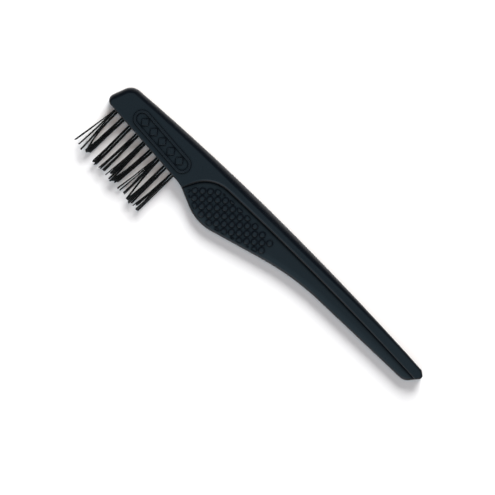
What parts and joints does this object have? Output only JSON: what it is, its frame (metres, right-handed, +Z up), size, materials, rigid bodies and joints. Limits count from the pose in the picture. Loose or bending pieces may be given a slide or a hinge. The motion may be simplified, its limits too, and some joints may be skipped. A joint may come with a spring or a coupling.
{
  "type": "hairbrush cleaning brush",
  "caption": "Slim hand brush for cleaning hairbrushes: a moulded dark plastic handle with a bumpy finger grip and a tapering tail, carrying a straight row of stiff nylon tufts.",
  "frame": {"origin": "centre of the bounding box's underside, on the surface that the tool lies on", "axes": "+X along the handle from the bristled head to the tail's tip, +Y across it from the bristle ends to the spine, +Z up through its thickness, towards the side with the raised ornament"},
  "size_m": [0.1401, 0.032, 0.0065],
  "materials": {
    "handle_plastic": "satin moulded plastic with a fine grain, near black with a blue-green cast",
    "bristle_nylon": "black extruded nylon filament with a soft gloss",
    "anchor_metal": "plain rolled strip, cut to length"
  },
  "bodies": {
    "root": {"handle": "handle_plastic", "anchor_1": "anchor_metal", "anchor_2": "anchor_metal", "anchor_3": "anchor_metal", "anchor_4": "anchor_metal", "anchor_5": "anchor_metal", "anchor_6": "anchor_metal", "anchor_7": "anchor_metal", "anchor_8": "anchor_metal", "anchor_9": "anchor_metal", "tuft_1": "bristle_nylon", "tuft_2": "bristle_nylon", "tuft_3": "bristle_nylon", "tuft_4": "bristle_nylon", "tuft_5": "bristle_nylon", "tuft_6": "bristle_nylon", "tuft_7": "bristle_nylon", "tuft_8": "bristle_nylon", "tuft_9": "bristle_nylon"}
  },
  "joints": []
}
